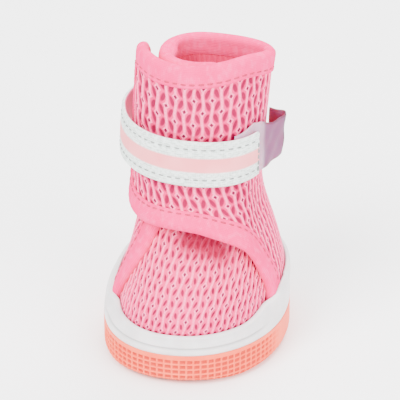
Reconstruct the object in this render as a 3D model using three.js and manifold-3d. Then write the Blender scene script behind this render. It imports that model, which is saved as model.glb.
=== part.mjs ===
// A small dog's boot in knitted mesh on a moulded rubber sole. One mesh band is wrapped round the leg and
// crosses itself at the front, a strap holds it shut, and a rubber rim joins it to the tread.
// Millimetres, +Z up, toe towards -Y, origin on the ground under the middle of the sole.

import * as THREE from 'three';
import { mergeVertices } from 'three/addons/utils/BufferGeometryUtils.js';
import Module from 'manifold-3d';

const wasm = await Module();
wasm.setup();

// ---------------------------------------------------------------- driving dimensions
const GAP = 0.3; // clearance kept between neighbouring pieces
const WALL = 2.0; // padded mesh of the upper
const COLLAR = 70; // height of the collar above the ground
const CORNER = 2.15; // squareness of the foot in plan, 2 being an ellipse
const HEEL_TAPER = 0.06; // how much narrower the heel is than the ball
const SWAY = { toe: 1.2, whole: 14, gone: 34 }; // the toe leans inwards, less and less between these heights
const AROUND = 60; // columns round the sole and the rim

const SOLE = { side: 21.5, front: 28.0, back: 27.0, floor: 4.6, flat: 8.5 };
const SOLE_EDGE = [
  // its rounded lower edge: in from the side, and up from the ground
  { inset: 2.0, rise: 0 },
  { inset: 0.84, rise: 0.5 },
  { inset: 0.25, rise: 2.0 },
];
const SPRING = { height: 0.9, from: -19.5, to: -28.0 }; // toe curls up between these two stations
const ARCH = { height: 0.5, from: 4.0, to: 12.6 };
const TREAD = {
  depth: 1.1, groove: 1.5, pitch: 6.6, rows: 8, columns: 6,
  past: 2, short: 5, // cross grooves run out past the sides, long ones stop short of toe and heel
};
const RIM = {
  heel: 7.0, toe: 8.0, // where it meets the tread
  topToe: 11.9, topSide: 16.9, topHeel: 18.0, riseFrom: 40, riseTo: 85, // its top, and where that rises
  thin: 1.2, lean: 1.3, rows: 4,
  flapSide: 0.25, // the flap already lifts a little where the rim takes hold of it
};
const INSOLE = { thick: 2.0, tuck: 1.3, round: 0.4, columns: 48 }; // tuck: room where the wall curls under
const VAMP = {
  sink: 1.5, left: -100, right: 85, rows: 8, columns: 30,
  top: 42, drop: 16, middle: -8, dropFrom: 30, dropTo: 90, // its top edge falls away to both sides
  hugFrom: -56, hugTo: -40, hugRight: 60, hugEnd: 40, // where the rim steps in from the band to the vamp
  fadeFrom: 8, fadeTo: 26, // how far past its ends the foot still needs its room
};
const FLAP = { lift: 0.3, rampFrom: 75, rampTo: 30, flareFrom: 36, flare: 2.85, sideFrom: 20, sideTo: 80 };
const BAND_GRID = { rows: 12, step: 6, least: 3.5 }; // degrees between its columns, and the least allowed
const STRAP = { low: 43.0, high: 53.8, thick: 1.2, from: -198, to: 64, lean: 0.5, columns: 52 };
const TAB = { thick: 1.0, margin: 0.2, step: 1.3, leastSteps: 3 };

// The last: half widths and lengths from the leg's axis at each height.
const LAST = [
  { z: 4.6, left: 17.0, right: 17.4, front: 23.4, back: 22.6 },
  { z: 7.5, left: 18.4, right: 18.8, front: 25.2, back: 24.2 },
  { z: 10.5, left: 19.2, right: 19.8, front: 26.4, back: 25.2 },
  { z: 14.0, left: 18.8, right: 20.2, front: 26.4, back: 25.6 },
  { z: 18.0, left: 17.5, right: 19.9, front: 24.8, back: 25.2 },
  { z: 22.0, left: 16.2, right: 18.8, front: 21.8, back: 24.4 },
  { z: 26.0, left: 15.3, right: 17.4, front: 18.0, back: 23.4 },
  { z: 30.0, left: 14.7, right: 15.8, front: 14.4, back: 22.4 },
  { z: 34.0, left: 14.4, right: 14.4, front: 11.2, back: 21.4 },
  { z: 38.0, left: 14.1, right: 13.7, front: 8.8, back: 20.4 },
  { z: 44.0, left: 13.5, right: 13.8, front: 6.8, back: 19.0 },
  { z: 52.0, left: 12.5, right: 14.5, front: 5.2, back: 17.8 },
  { z: 60.0, left: 11.2, right: 15.2, front: 4.0, back: 17.0 },
  { z: 72.0, left: 9.4, right: 16.2, front: 2.6, back: 16.2 },
];

// The band's cut edges along its sweep round the leg, in degrees from the toe. It starts under the flap on
// the right, passes the inner side, the heel and the outer side, and ends as the flap with its raised ear.
const BAND = [
  { sweep: 38, low: 60.0, high: 67.0 },
  { sweep: 33, low: 57.5, high: 70.0 },
  { sweep: 0, low: 48.0, high: 70.0 },
  { sweep: -14, low: 42.0, high: 70.0 },
  { sweep: -23, low: 36.0, high: 70.0 },
  { sweep: -27, low: 31.8, high: 70.0 },
  { sweep: -33, low: 27.0, high: 70.0 },
  { sweep: -39, low: 23.8, high: 70.0 },
  { sweep: -47, low: 20.0, high: 70.0 },
  { sweep: -54, low: 15.6, high: 70.0 },
  { sweep: -59, low: 10.6, high: 70.0 },
  { sweep: -64, low: 4.9, high: 70.0 },
  { sweep: -70, low: 4.9, high: 70.0 },
  { sweep: -200, low: 4.9, high: 69.6 },
  { sweep: -262, low: 4.9, high: 70.4 },
  { sweep: -283, low: 4.9, high: 71.4 },
  { sweep: -289, low: 4.9, high: 71.6 },
  { sweep: -292, low: 13.0, high: 71.8 },
  { sweep: -294, low: 17.4, high: 71.9 },
  { sweep: -306, low: 23.6, high: 72.0 },
  { sweep: -314, low: 26.4, high: 71.8 },
  { sweep: -324, low: 28.6, high: 71.3 },
  { sweep: -340, low: 30.8, high: 70.6 },
  { sweep: -356, low: 32.0, high: 70.0 },
  { sweep: -402, low: 32.0, high: 69.6 },
  { sweep: -420, low: 32.6, high: 70.2 },
  { sweep: -438, low: 34.2, high: 70.0 },
  { sweep: -450, low: 37.0, high: 69.4 },
  { sweep: -458, low: 41.5, high: 68.5 },
  { sweep: -462, low: 46.0, high: 67.0 },
  { sweep: -464, low: 51.0, high: 64.5 },
];

// How far the middle of the strap stands off the upper on its way round.
const STRAP_PATH = [
  { turn: -198, off: 1.4 },
  { turn: -186, off: 1.5 },
  { turn: -173, off: 3.0 },
  { turn: -159, off: 6.6 },
  { turn: -142, off: 9.2 },
  { turn: -122, off: 9.4 },
  { turn: -103, off: 7.6 },
  { turn: -84, off: 6.0 },
  { turn: -64, off: 4.9 },
  { turn: -45, off: 4.4 },
  { turn: -20, off: 4.2 },
  { turn: 20, off: 4.1 },
  { turn: 40, off: 3.6 },
  { turn: 64, off: 2.0 },
];

// The tab's film, run by run from the strap's end: straight out beside the leg, a fold, and back to the leg.
const TAB_PATH = [
  { run: 10.4, bend: -4 },
  { run: 1.5, bend: 96 },
  { run: 3.2, bend: 0 },
];

// ---------------------------------------------------------------- small helpers
const rad = THREE.MathUtils.degToRad;
const lerp = THREE.MathUtils.lerp;
const clamp01 = (t) => THREE.MathUtils.clamp(t, 0, 1);
const smooth = (t) => clamp01(t) ** 2 * (3 - 2 * clamp01(t));

// Reads column `name` of a table at position `x` of its column `along`, on a smooth curve through the rows.
function readCurve(table, along, name, x) {
  const last = table.length - 1;
  let i = 0;
  while (i < last - 1 && (x - table[i + 1][along]) * (table[last][along] - table[0][along]) > 0) i += 1;
  const slope = (j) => {
    const a = table[Math.max(j - 1, 0)];
    const b = table[Math.min(j + 1, last)];
    return (b[name] - a[name]) / (b[along] - a[along]);
  };
  const step = table[i + 1][along] - table[i][along];
  const t = clamp01((x - table[i][along]) / step);
  const h = (3 - 2 * t) * t * t;
  const rise = t * (1 - t) * step;
  return lerp(table[i][name], table[i + 1][name], h)
    + rise * ((1 - t) * slope(i) - t * slope(i + 1));
}

// A point on a rounded plan outline; angle 0 is the toe and grows towards +X.
function planPoint(angle, left, right, front, back, sway) {
  const s = Math.sin(rad(angle));
  const c = Math.cos(rad(angle));
  const across = s >= 0 ? right : left;
  const along = (front + back) / 2;
  const centre = (back - front) / 2;
  const r = (Math.abs(s / across) ** CORNER + Math.abs(c / along) ** CORNER) ** (-1 / CORNER);
  const reach = (-r * c) / along; // -1 at the toe, 1 at the heel
  const x = reach > 0 ? r * s * (1 - HEEL_TAPER * reach ** 2) : r * s - sway * reach ** 2;
  return new THREE.Vector2(x, centre - r * c);
}

function lastPoint(angle, z) {
  const size = (name) => readCurve(LAST, 'z', name, z);
  const sway = SWAY.toe * clamp01((SWAY.gone - z) / (SWAY.gone - SWAY.whole));
  const p = planPoint(angle, size('left'), size('right'), size('front'), size('back'), sway);
  return new THREE.Vector3(p.x, p.y, z);
}

// A point `off` millimetres outside the last, square to its surface.
function offLast(angle, z, off) {
  const step = 0.5;
  const round = lastPoint(angle + step, z).sub(lastPoint(angle - step, z));
  const rise = lastPoint(angle, z + step).sub(lastPoint(angle, z - step));
  const normal = round.cross(rise).normalize();
  return lastPoint(angle, z).addScaledVector(normal, off);
}

// The same, kept level: the point is moved back to height z.
const besideLast = (angle, z, off) => offLast(angle, z, off).setZ(z);

function solePoint(angle, z, inset) {
  const { side, front, back } = SOLE;
  const p = planPoint(angle, side - inset, side - inset, front - inset, back - inset, SWAY.toe);
  return new THREE.Vector3(p.x, p.y, z);
}

function toGeometry(points, faces) {
  const geometry = new THREE.BufferGeometry();
  geometry.setAttribute('position', new THREE.Float32BufferAttribute(points.flatMap((p) => [p.x, p.y, p.z]), 3));
  geometry.setIndex(faces);
  return geometry;
}

// A closed skin over columns of points. Each column is a loop of points round the section. Where `ring`
// is true the last column joins the first, and otherwise both ends are capped by a fan.
function loft(columns, ring) {
  const n = columns[0].length;
  const faces = [];
  const at = (i, j) => (i % columns.length) * n + (j % n);
  const spans = ring ? columns.length : columns.length - 1;
  for (let i = 0; i < spans; i += 1) {
    for (let j = 0; j < n; j += 1) {
      faces.push(at(i, j), at(i + 1, j), at(i + 1, j + 1), at(i, j), at(i + 1, j + 1), at(i, j + 1));
    }
  }
  if (!ring) {
    const half = n / 2;
    for (let j = 0; j < half - 1; j += 1) {
      const end = columns.length - 1;
      const [a, b, c, d] = [j, j + 1, n - 2 - j, n - 1 - j];
      faces.push(at(0, a), at(0, b), at(0, c), at(0, a), at(0, c), at(0, d));
      faces.push(at(end, a), at(end, c), at(end, b), at(end, a), at(end, d), at(end, c));
    }
  }
  return toGeometry(columns.flat(), faces);
}

// The same for a solid round a middle: every column runs from the bottom's middle to the top's middle.
function turned(columns, bottom, top) {
  const n = columns[0].length;
  const points = [...columns.flat(), bottom, top];
  const faces = [];
  columns.forEach((column, i) => {
    const a = i * n;
    const b = ((i + 1) % columns.length) * n;
    faces.push(points.length - 2, b, a);
    for (let j = 0; j < n - 1; j += 1) faces.push(a + j, b + j, b + j + 1, a + j, b + j + 1, a + j + 1);
    faces.push(a + n - 1, b + n - 1, points.length - 1);
  });
  return toGeometry(points, faces);
}

function toSolid(geometry) {
  const bare = geometry.clone();
  ['normal', 'uv'].forEach((name) => bare.deleteAttribute(name));
  const merged = mergeVertices(bare, 1e-5);
  return new wasm.Manifold(new wasm.Mesh({
    numProp: 3,
    vertProperties: new Float32Array(merged.attributes.position.array),
    triVerts: new Uint32Array(merged.index.array),
  }));
}

function fromSolid(solid) {
  const mesh = solid.getMesh();
  const geometry = new THREE.BufferGeometry();
  geometry.setAttribute('position', new THREE.BufferAttribute(new Float32Array(mesh.vertProperties), 3));
  geometry.setIndex(new THREE.BufferAttribute(new Uint32Array(mesh.triVerts), 1));
  return geometry;
}

const stations = (from, to, steps) => Array.from({ length: steps + 1 }, (_, i) => lerp(from, to, i / steps));
const turns = (count) => Array.from({ length: count }, (_, i) => (360 * i) / count);

function piece(name, geometry, color, roughness) {
  const material = new THREE.MeshStandardMaterial({ color, roughness, metalness: 0 });
  const mesh = new THREE.Mesh(geometry, material);
  mesh.name = name;
  return mesh;
}

// ---------------------------------------------------------------- upper
// The flap lifts off the band beneath it towards the front, and its ear flares out at the collar.
function flapLift(sweep, z) {
  const angle = sweep + 360;
  if (angle > FLAP.rampFrom) return 0;
  const lift = (WALL + FLAP.lift) * smooth((FLAP.rampFrom - angle) / (FLAP.rampFrom - FLAP.rampTo));
  const side = smooth((-angle - FLAP.sideFrom) / (FLAP.sideTo - FLAP.sideFrom));
  return lift + side * FLAP.flare * smooth((z - FLAP.flareFrom) / (COLLAR - FLAP.flareFrom));
}

// A wall between two offsets of the last: out on the way up, in on the way down.
function wallColumn(angle, low, high, rows, outer) {
  const heights = stations(low, high, rows);
  const out = heights.map((z) => offLast(angle, z, outer(z)));
  const back = heights.toReversed().map((z) => offLast(angle, z, outer(z) - WALL));
  return [...out, ...back];
}

function upper() {
  const sweeps = new Set(BAND.map((row) => row.sweep));
  for (let { sweep } = BAND[0]; sweep > BAND[BAND.length - 1].sweep; sweep -= BAND_GRID.step) {
    if (![...sweeps].some((known) => Math.abs(known - sweep) < BAND_GRID.least)) sweeps.add(sweep);
  }
  const band = [...sweeps].sort((a, b) => a - b).map((sweep) => {
    const low = Math.max(readCurve(BAND, 'sweep', 'low', sweep), SOLE.floor + GAP);
    const high = readCurve(BAND, 'sweep', 'high', sweep);
    return wallColumn(sweep, low, high, BAND_GRID.rows, (z) => flapLift(sweep, z));
  });
  const vamp = stations(VAMP.left, VAMP.right, VAMP.columns).map((angle) => {
    const aside = Math.abs(angle - VAMP.middle);
    const top = VAMP.top - VAMP.drop * smooth((aside - VAMP.dropFrom) / (VAMP.dropTo - VAMP.dropFrom));
    return wallColumn(angle, SOLE.floor + GAP, top, VAMP.rows, () => -VAMP.sink);
  });
  return fromSolid(toSolid(loft(band, false)).add(toSolid(loft(vamp, false))));
}

// ---------------------------------------------------------------- sole
const rimFoot = (angle) => lerp(RIM.heel, RIM.toe, 0.5 + 0.5 * Math.cos(rad(angle)));
function rimTop(angle) {
  const turn = Math.abs(((angle + 180) % 360) - 180);
  const side = lerp(RIM.topToe, RIM.topSide, smooth((turn - RIM.riseFrom) / (RIM.riseTo - RIM.riseFrom)));
  return lerp(side, RIM.topHeel, smooth((turn - RIM.riseTo) / (180 - RIM.riseTo)));
}

// Face of the upper that the rubber closes on: the vamp sits lower than the sides of the band.
function upperFace(angle) {
  const turn = ((angle + 180) % 360) - 180;
  const vamp = smooth(turn < 0
    ? (turn - VAMP.hugFrom) / (VAMP.hugTo - VAMP.hugFrom)
    : (VAMP.hugRight - turn) / (VAMP.hugRight - VAMP.hugEnd));
  return lerp(turn > 0 && turn < 90 ? RIM.flapSide : 0, -VAMP.sink, vamp);
}

// Inner face of the upper: the vamp runs on behind the sides of the band as far as its own ends.
function liningFace(angle) {
  const turn = ((angle + 180) % 360) - 180;
  const past = turn < 0 ? VAMP.left - turn : turn - VAMP.right;
  const vamp = smooth((VAMP.fadeTo - past) / (VAMP.fadeTo - VAMP.fadeFrom));
  return -WALL - VAMP.sink * vamp;
}

const soleLift = (y) => SPRING.height * smooth((SPRING.from - y) / (SPRING.from - SPRING.to));

function outsole() {
  const columns = turns(AROUND).map((angle) => {
    const inside = upperFace(angle) + GAP;
    const edge = SOLE_EDGE.map(({ inset, rise }) => {
      const point = solePoint(angle, rise, inset);
      return point.setZ(rise + soleLift(point.y));
    });
    return [
      solePoint(angle, 0, SOLE.flat),
      ...edge,
      solePoint(angle, rimFoot(angle), 0),
      besideLast(angle, rimFoot(angle), inside),
      besideLast(angle, SOLE.floor, inside),
    ];
  });
  const middle = (z) => new THREE.Vector3(0, 0, z);
  let solid = toSolid(turned(columns, middle(0), middle(SOLE.floor)));
  const cut = (width, depth, length, x, y) => {
    const box = new THREE.BoxGeometry(width, depth, length);
    box.translate(x, y, 0);
    return toSolid(box);
  };
  const across = 2 * (SOLE.side + TREAD.past);
  const along = 2 * (SOLE.back - TREAD.short);
  for (let i = 0; i < TREAD.rows; i += 1) {
    const y = (i - (TREAD.rows - 1) / 2) * TREAD.pitch;
    solid = solid.subtract(cut(across, TREAD.groove, 2 * TREAD.depth, 0, y));
  }
  for (let i = 0; i < TREAD.columns; i += 1) {
    const x = (i - (TREAD.columns - 1) / 2) * TREAD.pitch;
    solid = solid.subtract(cut(TREAD.groove, along, 2 * TREAD.depth, x, 0));
  }
  const archLength = ARCH.to - ARCH.from;
  const arch = cut(across, archLength, 2 * ARCH.height, 0, (ARCH.to + ARCH.from) / 2);
  return fromSolid(solid.subtract(arch));
}

function sidewall() {
  const columns = turns(AROUND).map((angle) => {
    const foot = rimFoot(angle) + GAP;
    const top = rimTop(angle);
    const inside = upperFace(angle) + GAP;
    const heights = stations(foot, top, RIM.rows);
    const outside = heights.map((z, i) => {
      const hug = besideLast(angle, z, inside + RIM.thin);
      return solePoint(angle, z, 0).lerp(hug, smooth(i / RIM.rows) ** RIM.lean);
    });
    const back = heights.toReversed().map((z) => besideLast(angle, z, inside));
    return [...outside, ...back];
  });
  return loft(columns, true);
}

function insole() {
  const low = SOLE.floor + GAP;
  const columns = turns(INSOLE.columns).map((angle) => {
    const inner = liningFace(angle) - GAP - INSOLE.tuck;
    const top = low + INSOLE.thick;
    return [
      besideLast(angle, low, inner - INSOLE.round / 2),
      besideLast(angle, top - INSOLE.round, inner),
      besideLast(angle, top, inner - INSOLE.round),
    ];
  });
  const middle = (z) => new THREE.Vector3(0, 0, z);
  return turned(columns, middle(low), middle(low + INSOLE.thick));
}

// ---------------------------------------------------------------- strap and its tab
// Its offset is measured level, on the last at the strap's middle height, and it leans less than the leg.
const strapMiddle = (STRAP.low + STRAP.high) / 2;

function strapPoint(turn, off, z) {
  const axis = lastPoint(turn, strapMiddle);
  const away = offLast(turn, strapMiddle, off).sub(axis);
  const lean = lastPoint(turn, z).sub(axis).multiplyScalar(STRAP.lean);
  return axis.add(lean).add(away).setZ(z);
}

function strap() {
  const columns = stations(STRAP.from, STRAP.to, STRAP.columns).map((turn) => {
    const off = readCurve(STRAP_PATH, 'turn', 'off', turn);
    const heights = stations(STRAP.low, STRAP.high, 2);
    const out = heights.map((z) => strapPoint(turn, off + STRAP.thick / 2, z));
    const back = heights.toReversed().map((z) => strapPoint(turn, off - STRAP.thick / 2, z));
    return [...out, ...back];
  });
  return loft(columns, false);
}

// A soft grip that carries on from the strap's end, stands off the leg and folds back to it.
function strapTab() {
  const off = readCurve(STRAP_PATH, 'turn', 'off', STRAP.to);
  const end = strapPoint(STRAP.to, off, strapMiddle);
  const heading = end.clone().sub(strapPoint(STRAP.to - 3, off, strapMiddle)).setZ(0).normalize();
  const half = (STRAP.high - STRAP.low) / 2 - TAB.margin;
  const place = end.addScaledVector(heading, GAP);
  const up = new THREE.Vector3(0, 0, 1);
  const columns = [];
  const addColumn = () => {
    const side = heading.clone().cross(up).multiplyScalar(TAB.thick / 2);
    const at = (sign, z) => place.clone().addScaledVector(side, sign).setZ(strapMiddle + z);
    columns.push([at(1, -half), at(1, half), at(-1, half), at(-1, -half)]);
  };
  addColumn();
  TAB_PATH.forEach(({ run, bend }) => {
    const steps = Math.max(TAB.leastSteps, Math.round(run / TAB.step));
    for (let i = 0; i < steps; i += 1) {
      heading.applyAxisAngle(up, rad(bend / steps));
      place.addScaledVector(heading, run / steps);
      addColumn();
    }
  });
  return loft(columns, false);
}

// ---------------------------------------------------------------- the boot
const group = new THREE.Group();
group.add(
  piece('outsole', outsole(), 0xffaa96, 0.6),
  piece('sidewall', sidewall(), 0xebe8e8, 0.55),
  piece('insole', insole(), 0xe89aac, 0.9),
  piece('upper', upper(), 0xff9db4, 0.9),
  piece('strap', strap(), 0xe8ece9, 0.85),
  piece('strap_tab', strapTab(), 0xcda5c3, 0.4),
);

export default group;
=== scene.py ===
# A small dog's boot: knitted pink mesh wrapped round the leg, bound edges, a striped strap with a soft
# lilac pull tab, an off-white rubber rim and a peach rubber sole with a gridded toe.

from math import cos, pi, radians, sin

import bpy
import numpy as np
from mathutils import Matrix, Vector


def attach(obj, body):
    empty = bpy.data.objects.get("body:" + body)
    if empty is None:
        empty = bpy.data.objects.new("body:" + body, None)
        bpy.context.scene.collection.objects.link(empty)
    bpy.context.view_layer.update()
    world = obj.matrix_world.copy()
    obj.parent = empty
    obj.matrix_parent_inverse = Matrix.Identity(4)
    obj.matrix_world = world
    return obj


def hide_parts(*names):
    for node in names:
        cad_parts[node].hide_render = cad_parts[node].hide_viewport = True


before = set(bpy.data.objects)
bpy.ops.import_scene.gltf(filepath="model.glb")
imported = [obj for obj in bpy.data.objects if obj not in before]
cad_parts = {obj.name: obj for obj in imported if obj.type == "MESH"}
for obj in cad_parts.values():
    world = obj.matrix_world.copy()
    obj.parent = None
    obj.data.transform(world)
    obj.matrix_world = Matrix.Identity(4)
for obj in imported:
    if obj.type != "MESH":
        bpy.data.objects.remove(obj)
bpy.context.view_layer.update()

MM = 0.001  # the boot is worked out in millimetres


# ---------------------------------------------------------------- outsole
# The tread is one moulding of soft peach rubber: a rounded wall, square lugs underneath, a shallow arch,
# and a pressed grid that wraps up over the toe. It is glued to the rim above it.

CORNER = 2.15  # squareness of the foot in plan, 2 being an ellipse
HEEL_TAPER = 0.06  # how much narrower the heel is than the ball
TOE_SWAY = 1.2  # the tip of the toe is this far over towards -X
SOLE_SIDE, SOLE_FRONT, SOLE_BACK = 21.5, 28.0, 27.0
SOLE_FLOOR = 4.6
SOLE_WALL_TOP = {"toe": 8.0, "heel": 7.0}
SOLE_STEP = 0.45  # degrees between its columns, fine enough for the toe grid
TREAD_RINGS, EDGE_RINGS, WALL_RINGS = 52, 16, 37
EDGE_ROUND, EDGE_RISE = 2.2, 1.87  # the rounded lower edge, in from the side and up
SPRING_HEIGHT, SPRING_FROM, SPRING_TO = 0.9, -19.5, -28.0
ARCH_FROM, ARCH_TO, ARCH_HEIGHT, ARCH_SOFT = 4.0, 12.6, 0.5, 1.5
LUG_PITCH, LUG_GROOVE, LUG_DEPTH, LUG_SOFT, LUG_MARGIN = 6.6, 1.5, 1.1, 0.4, 0.8
GRID_CELL, GRID_ROW, GRID_DEPTH, GRID_TOP = 1.68, 1.3, 0.55, 6.95
GRID_TURN, GRID_FADE = 74.0, 20.0  # it ends this far round from the toe, fading over the last degrees
BAR_UP, BAR_ACROSS, BAR_SLOPE = 0.10, 0.14, 0.34  # the bars of the grid, as shares of half a cell


def smooth(t):
    t = np.clip(t, 0.0, 1.0)
    return t * t * (3 - 2 * t)


def plan_point(angle, left, right, front, back, sway):
    """A rounded plan outline. Angle 0 is the toe, at -Y, and grows towards +X."""
    s, c = np.sin(np.radians(angle)), np.cos(np.radians(angle))
    across = np.where(s >= 0, right, left)
    along, centre = (front + back) / 2, (back - front) / 2
    r = (np.abs(s / across) ** CORNER + np.abs(c / along) ** CORNER) ** (-1 / CORNER)
    reach = -r * c / along
    x = np.where(reach > 0, r * s * (1 - HEEL_TAPER * reach**2), r * s - sway * reach**2)
    return x, centre - r * c


def sole_point(angle, inset):
    """The sole's outline in plan, drawn in by an inset."""
    sizes = (SOLE_SIDE - inset, SOLE_SIDE - inset, SOLE_FRONT - inset, SOLE_BACK - inset)
    return plan_point(angle, *sizes, TOE_SWAY)


def toe_ness(angle):
    """1 at the toe, 0 at the heel."""
    return 0.5 + 0.5 * np.cos(np.radians(angle))


def grid_faces(rows, columns, ring=False):
    """Quads over a grid of points that is stored row by row."""
    i, j = np.meshgrid(np.arange(rows - 1), np.arange(columns if ring else columns - 1), indexing="ij")
    near, far = i * columns + j, i * columns + (j + 1) % columns
    return np.stack([near, far, far + columns, near + columns], -1).reshape(-1, 4)


def capped_skin(rows, columns):
    """A closed skin of rings of points, with both ends capped."""
    faces = [list(f) for f in grid_faces(rows, columns, ring=True)]
    return faces + [list(range(columns))[::-1], list(range((rows - 1) * columns, rows * columns))]


def make_piece(name, points, faces, uv=None, marks=None):
    """A smooth-shaded mesh object. Points in millimetres, one uv pair and any marks a point."""
    mesh = bpy.data.meshes.new(name)
    mesh.from_pydata((np.asarray(points) * MM).tolist(), [], [list(map(int, f)) for f in faces])
    if uv is not None:
        corner = np.empty(len(mesh.loops), dtype=np.int32)
        mesh.loops.foreach_get("vertex_index", corner)
        mesh.uv_layers.new(name="pattern").data.foreach_set("uv", np.asarray(uv)[corner].ravel())
    for mark, values in (marks or {}).items():
        layer = mesh.attributes.new(mark, "FLOAT", "POINT")
        layer.data.foreach_set("value", np.asarray(values, dtype=np.float32).ravel())
    mesh.shade_smooth()
    mesh.update()
    piece = bpy.data.objects.new(name, mesh)
    bpy.context.collection.objects.link(piece)
    return piece


class Value:
    """A shader socket that can be used in arithmetic."""

    def __init__(self, finish, socket):
        self.finish, self.socket = finish, socket

    def maths(self, operation, *others):
        inputs = {i: other for i, other in enumerate((self, *others))}
        return self.finish.node("ShaderNodeMath", {"operation": operation}, inputs)

    def __add__(self, other):
        return self.maths("ADD", other)

    def __sub__(self, other):
        return self.maths("SUBTRACT", other)

    def __rsub__(self, other):
        return self.finish.node("ShaderNodeMath", {"operation": "SUBTRACT"}, {0: other, 1: self})

    def __mul__(self, other):
        return self.maths("MULTIPLY", other)

    def __truediv__(self, other):
        return self.maths("DIVIDE", other)

    def __abs__(self):
        return self.maths("ABSOLUTE")

    __radd__, __rmul__ = __add__, __mul__

    def clamp(self):
        return self.maths("MAXIMUM", 0.0).maths("MINIMUM", 1.0)

    def floor(self):
        return self.maths("FLOOR")

    def step(self, low, high):
        """0 below low, 1 above high, eased between; low may be the larger."""
        t = ((self - low) / (high - low)).clamp()
        return t * t * (3 - 2 * t)


class Finish:
    """A material under construction, with one Principled shader."""

    def __init__(self, name, slot, roughness, **sockets):
        self.material = bpy.data.materials.new(name)
        self.material.use_nodes = True
        self.tree = self.material.node_tree
        self.shader = self.tree.nodes["Principled BSDF"]
        self.slot = slot
        self.shader.inputs["Roughness"].default_value = roughness
        for socket, value in sockets.items():
            self.shader.inputs[socket.replace("_", " ")].default_value = value

    def node(self, kind, settings=None, inputs=None, output=0):
        node = self.tree.nodes.new(kind)
        for name, value in (settings or {}).items():
            setattr(node, name, value)
        for name, value in (inputs or {}).items():
            self.feed(node.inputs[name], value)
        return Value(self, node.outputs[output])

    def feed(self, socket, value):
        if isinstance(value, Value):
            self.tree.links.new(value.socket, socket)
        else:
            socket.default_value = (*value, 1.0) if isinstance(value, tuple) and len(value) == 3 and \
                socket.type == "RGBA" else value

    def across(self):
        """The pattern's two coordinates, in millimetres."""
        uv = self.node("ShaderNodeUVMap", {"uv_map": "pattern"})
        split = self.node("ShaderNodeSeparateXYZ", inputs={0: uv}).socket.node
        return Value(self, split.outputs[0]), Value(self, split.outputs[1])

    def mark(self, name):
        return self.node("ShaderNodeAttribute", {"attribute_name": name}, output="Fac")

    def mix(self, amount, a, b):
        settings = {"data_type": "RGBA"}
        return self.node("ShaderNodeMix", settings, {0: amount, 6: a, 7: b}, output=2)

    def noise(self, scale, detail=2.0, roughness=0.5, stretch=(1, 1, 1)):
        """Soft noise through the body of the piece; scale is in bumps a metre."""
        place = self.node("ShaderNodeTexCoord", output="Object")
        place = self.node("ShaderNodeVectorMath", {"operation": "MULTIPLY"}, {0: place, 1: stretch})
        sizes = {"Scale": scale, "Detail": detail, "Roughness": roughness, "Vector": place}
        return self.node("ShaderNodeTexNoise", {"normalize": True}, sizes)

    def bump(self, height, distance_mm, strength=1.0):
        sizes = {"Height": height, "Distance": distance_mm * MM, "Strength": strength}
        self.feed(self.shader.inputs["Normal"], self.node("ShaderNodeBump", inputs=sizes))

    def set(self, **sockets):
        for name, value in sockets.items():
            self.feed(self.shader.inputs[name.replace("_", " ")], value)

    def put_on(self, *pieces):
        for piece in pieces:
            piece.data.materials.append(self.material)
            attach(piece, "root")


def sole_lift(y):
    """Toe spring: how far the sole curls up off the floor."""
    return SPRING_HEIGHT * smooth((SPRING_FROM - y) / (SPRING_FROM - SPRING_TO))


def groove(position):
    """1 in the grooves between lugs, 0 on the lugs."""
    away = np.abs((position / LUG_PITCH) % 1.0 - 0.5) * LUG_PITCH
    return 1 - smooth((away - LUG_GROOVE / 2 + LUG_SOFT / 2) / LUG_SOFT)


def sole_wall_top(angle):
    """Height of the line where the tread's wall meets the rim."""
    return SOLE_WALL_TOP["heel"] + (SOLE_WALL_TOP["toe"] - SOLE_WALL_TOP["heel"]) * toe_ness(angle)


def turn_from_toe(angle):
    """Degrees from the toe, the same on both sides."""
    return np.abs((angle + 180) % 360 - 180)


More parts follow.
